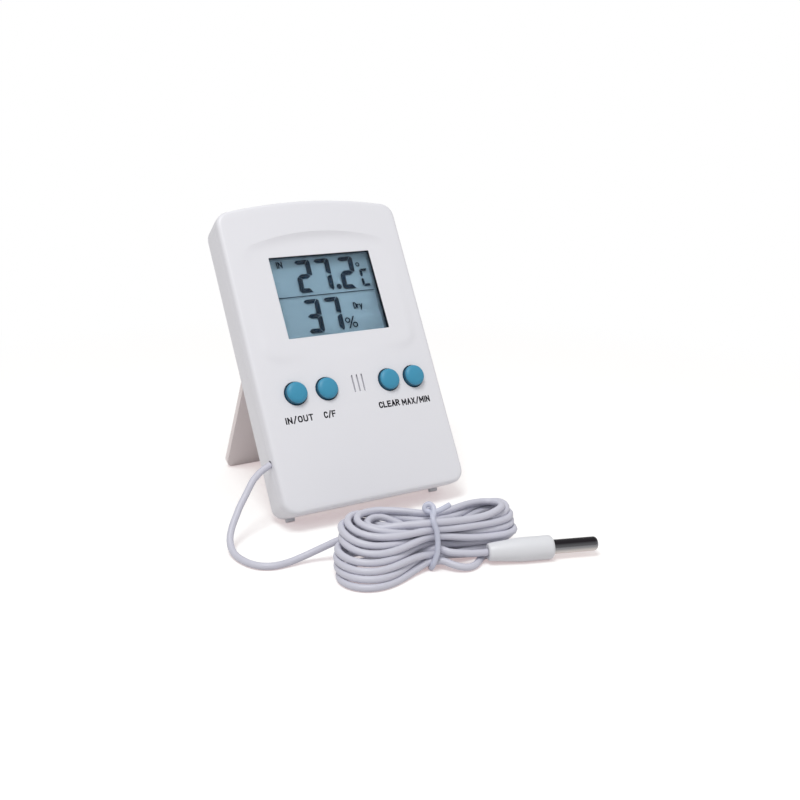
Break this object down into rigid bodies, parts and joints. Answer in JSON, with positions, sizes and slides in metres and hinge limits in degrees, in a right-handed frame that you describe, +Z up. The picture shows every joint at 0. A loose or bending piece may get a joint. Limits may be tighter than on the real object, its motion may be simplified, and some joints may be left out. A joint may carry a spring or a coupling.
{
  "type": "digital thermometer",
  "caption": "Battery-powered thermometer and humidity meter with a flat display, push buttons, a sliding battery door and a fold-out stand, and a steel probe on a tied hank of cord.",
  "frame": {"origin": "bottom centre of the box round the case and its open stand, on the table; the cord and probe aren't counted", "axes": "X runs to the right as you face the display, Y to the back, Z up"},
  "size_m": [0.1006, 0.1408, 0.1029],
  "materials": {
    "case_plastic": "satin",
    "stand_plastic": "satin",
    "window_plastic": "gloss",
    "lcd_glass": "satin",
    "holder_plastic": "matte",
    "zebra_rubber": "matte",
    "board_laminate": "satin",
    "chip_epoxy": "satin",
    "crystal_can": "satin",
    "board_part": "matte",
    "sensor_body": "matte",
    "thermistor_epoxy": "satin",
    "keypad_rubber": "matte",
    "button_plastic": "satin",
    "plunger_rubber": "matte",
    "cell_can": "satin",
    "contact_steel": "satin",
    "screw_steel": "satin",
    "cord_vinyl": "satin",
    "sleeve_vinyl": "satin",
    "probe_steel": "polished"
  },
  "bodies": {
    "case": {"front_case": "case_plastic", "rear_case": "case_plastic", "display_window": "window_plastic", "lcd_panel": "lcd_glass", "lcd_holder": "holder_plastic", "zebra_strip": "zebra_rubber", "circuit_board": "board_laminate", "chip_blob": "chip_epoxy", "crystal": "crystal_can", "board_parts": "board_part", "humidity_sensor": "sensor_body", "air_thermistor": "thermistor_epoxy", "keypad_mat": "keypad_rubber", "battery_cell": "cell_can", "battery_spring": "contact_steel", "battery_plate": "contact_steel", "case_screws": "screw_steel", "board_screws": "screw_steel", "cord_grip": "cord_vinyl", "cord_inner": "cord_vinyl", "cord_lead": "cord_vinyl", "cord_hank": "cord_vinyl", "cord_tie": "cord_vinyl", "cord_tail": "cord_vinyl", "probe_sleeve": "sleeve_vinyl", "probe_tube": "probe_steel", "probe_bead": "thermistor_epoxy"},
    "stand": {"stand": "stand_plastic"},
    "battery_door": {"battery_door": "case_plastic"},
    "in_out_key": {"button_in_out": "button_plastic", "plunger_in_out": "plunger_rubber"},
    "unit_key": {"button_unit": "button_plastic", "plunger_unit": "plunger_rubber"},
    "clear_key": {"button_clear": "button_plastic", "plunger_clear": "plunger_rubber"},
    "max_min_key": {"button_max_min": "button_plastic", "plunger_max_min": "plunger_rubber"}
  },
  "joints": [
    {"name": "in_out_press", "type": "slide", "parent": "case", "child": "in_out_key", "axis": [0, 0.8703, -0.4925], "range_m": [0, 0.0008], "stiffness_N_per_m": 1500},
    {"name": "unit_press", "type": "slide", "parent": "case", "child": "unit_key", "axis": [0, 0.8703, -0.4925], "range_m": [0, 0.0008], "stiffness_N_per_m": 1500},
    {"name": "clear_press", "type": "slide", "parent": "case", "child": "clear_key", "axis": [0, 0.8703, -0.4925], "range_m": [0, 0.0008], "stiffness_N_per_m": 1500},
    {"name": "max_min_press", "type": "slide", "parent": "case", "child": "max_min_key", "axis": [0, 0.8703, -0.4925], "range_m": [0, 0.0008], "stiffness_N_per_m": 1500},
    {"name": "stand_hinge", "type": "hinge", "parent": "case", "child": "stand", "pos_m": [0, 0.00632, 0.0571], "axis": [-1, 0, 0], "range_deg": [0, 58.8]},
    {"name": "battery_door_slide", "type": "slide", "parent": "case", "child": "battery_door", "axis": [0, -0.4925, -0.8703], "range_m": [0, 0.018]}
  ]
}
